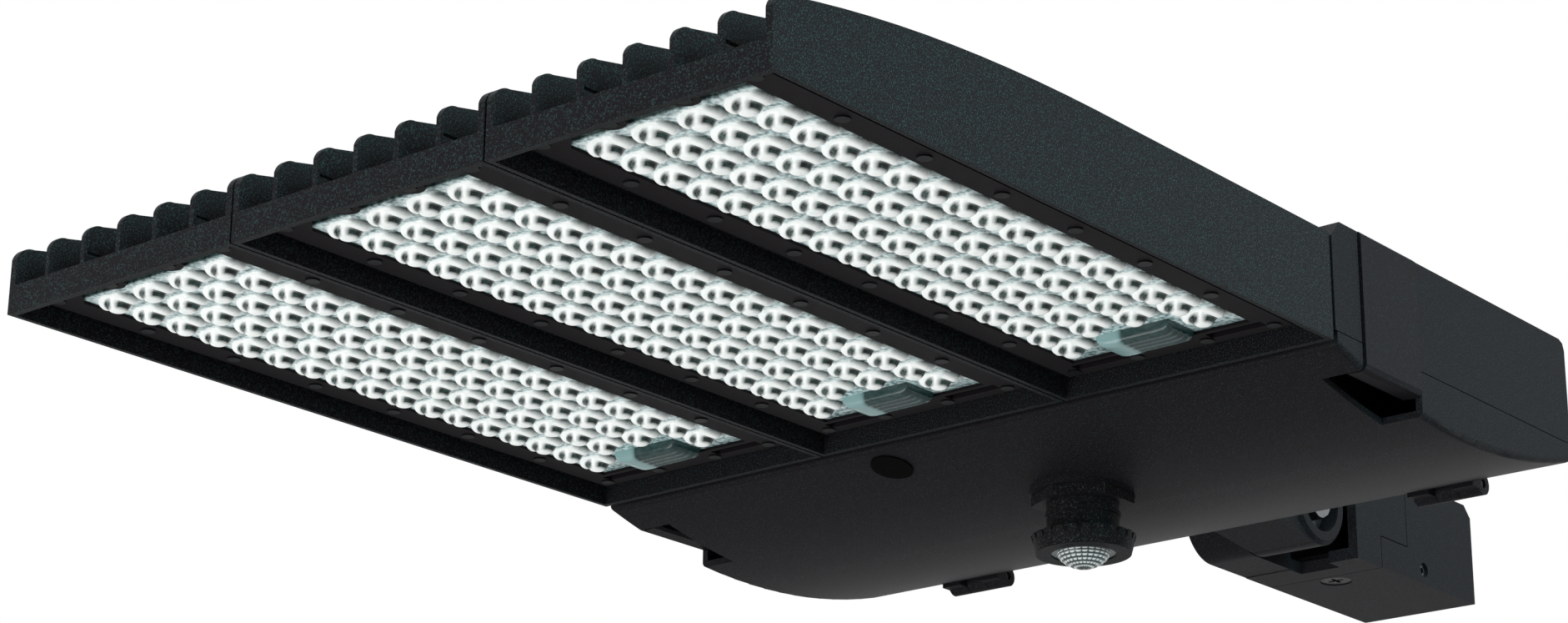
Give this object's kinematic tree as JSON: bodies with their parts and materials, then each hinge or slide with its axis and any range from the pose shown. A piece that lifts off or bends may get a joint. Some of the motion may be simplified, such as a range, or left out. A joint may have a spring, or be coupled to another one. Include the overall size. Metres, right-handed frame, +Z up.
{
  "type": "shoebox area light",
  "caption": "Flat outdoor area light with finned lens modules, a hinged driver door with an occupancy sensor, side latches and a tilting pole arm.",
  "frame": {"origin": "centre of the arm's pole face", "axes": "+Y out of the pole face towards the pole, +X to the right seen from behind the light, +Z up; the light reaches out along -Y and faces down"},
  "size_m": [0.3964, 0.7653, 0.1035],
  "materials": {
    "powder_coat": "dark bronze grey powder coat, fine texture",
    "cast_sink": "dark powder-coated die casting",
    "latch_coat": "dark powder coat, satin",
    "clear_plate": "clear moulded optics",
    "bezel_black": "black, matte",
    "cover_clear": "translucent, slightly teal",
    "board_white": "white solder mask",
    "led_yellow": "phosphor",
    "steel": "stainless steel",
    "black_steel": "black coated screws",
    "seal": "black silicone",
    "driver_can": "potted metal can",
    "device_plastic": "moulded plastic",
    "connector_white": "moulded plastic",
    "sensor_grey": "dark grey moulded plastic",
    "sensor_dome": "translucent segmented lens"
  },
  "bodies": {
    "arm": {"pole_bracket": "powder_coat", "arm_body": "powder_coat", "clamp_screw": "black_steel", "lock_screw": "steel", "tilt_bolt": "steel", "tilt_nut": "steel", "tilt_washer": "steel", "friction_washer": "steel"},
    "fixture": {"knuckle_bracket": "powder_coat", "knuckle_screws": "steel", "driver_housing": "powder_coat", "hinge_pins": "steel", "latch_pins": "steel", "heat_sink_left": "cast_sink", "led_board_left": "board_white", "led_packages_left": "led_yellow", "lens_gasket_left": "seal", "lens_plate_left": "clear_plate", "bezel_left": "bezel_black", "bezel_screws_left": "black_steel", "heat_sink_centre": "cast_sink", "led_board_centre": "board_white", "led_packages_centre": "led_yellow", "lens_gasket_centre": "seal", "lens_plate_centre": "clear_plate", "bezel_centre": "bezel_black", "bezel_screws_centre": "black_steel", "heat_sink_right": "cast_sink", "led_board_right": "board_white", "led_packages_right": "led_yellow", "lens_gasket_right": "seal", "lens_plate_right": "clear_plate", "bezel_right": "bezel_black", "bezel_screws_right": "black_steel", "board_connectors": "connector_white", "connector_covers": "cover_clear", "module_screws": "steel", "module_seals": "seal", "wire_grommets": "seal", "led_driver_left": "driver_can", "led_driver_right": "driver_can", "driver_screws": "steel", "surge_protector": "device_plastic", "terminal_block": "connector_white", "accessory_screws": "steel"},
    "door": {"door_shell": "powder_coat", "door_gasket": "seal", "door_plug": "seal", "sensor_body": "sensor_grey", "sensor_gasket": "seal", "sensor_locknut": "sensor_grey"},
    "sensor_head": {"sensor_ring": "sensor_grey", "sensor_lens": "sensor_dome"},
    "latch_left": {"latch_left": "latch_coat"},
    "latch_right": {"latch_right": "latch_coat"}
  },
  "joints": [
    {"name": "tilt", "type": "hinge", "parent": "arm", "child": "fixture", "pos_m": [0, -0.1496, -0.003], "axis": [1, 0, 0], "range_deg": [-90, 30]},
    {"name": "door_hinge", "type": "hinge", "parent": "fixture", "child": "door", "pos_m": [0, -0.2055, -0.0295], "axis": [1, 0, 0], "range_deg": [0, 90]},
    {"name": "latch_right_pivot", "type": "hinge", "parent": "fixture", "child": "latch_right", "pos_m": [0.1913, -0.368, 0.0195], "axis": [0, -1, 0], "range_deg": [0, 25]},
    {"name": "latch_left_pivot", "type": "hinge", "parent": "fixture", "child": "latch_left", "pos_m": [-0.1913, -0.368, 0.0195], "axis": [0, 1, 0], "range_deg": [0, 25]},
    {"name": "sensor_twist", "type": "hinge", "parent": "door", "child": "sensor_head", "pos_m": [0.0215, -0.3385, -0.065], "axis": [0, 0, 1], "range_deg": [0, 90]}
  ]
}
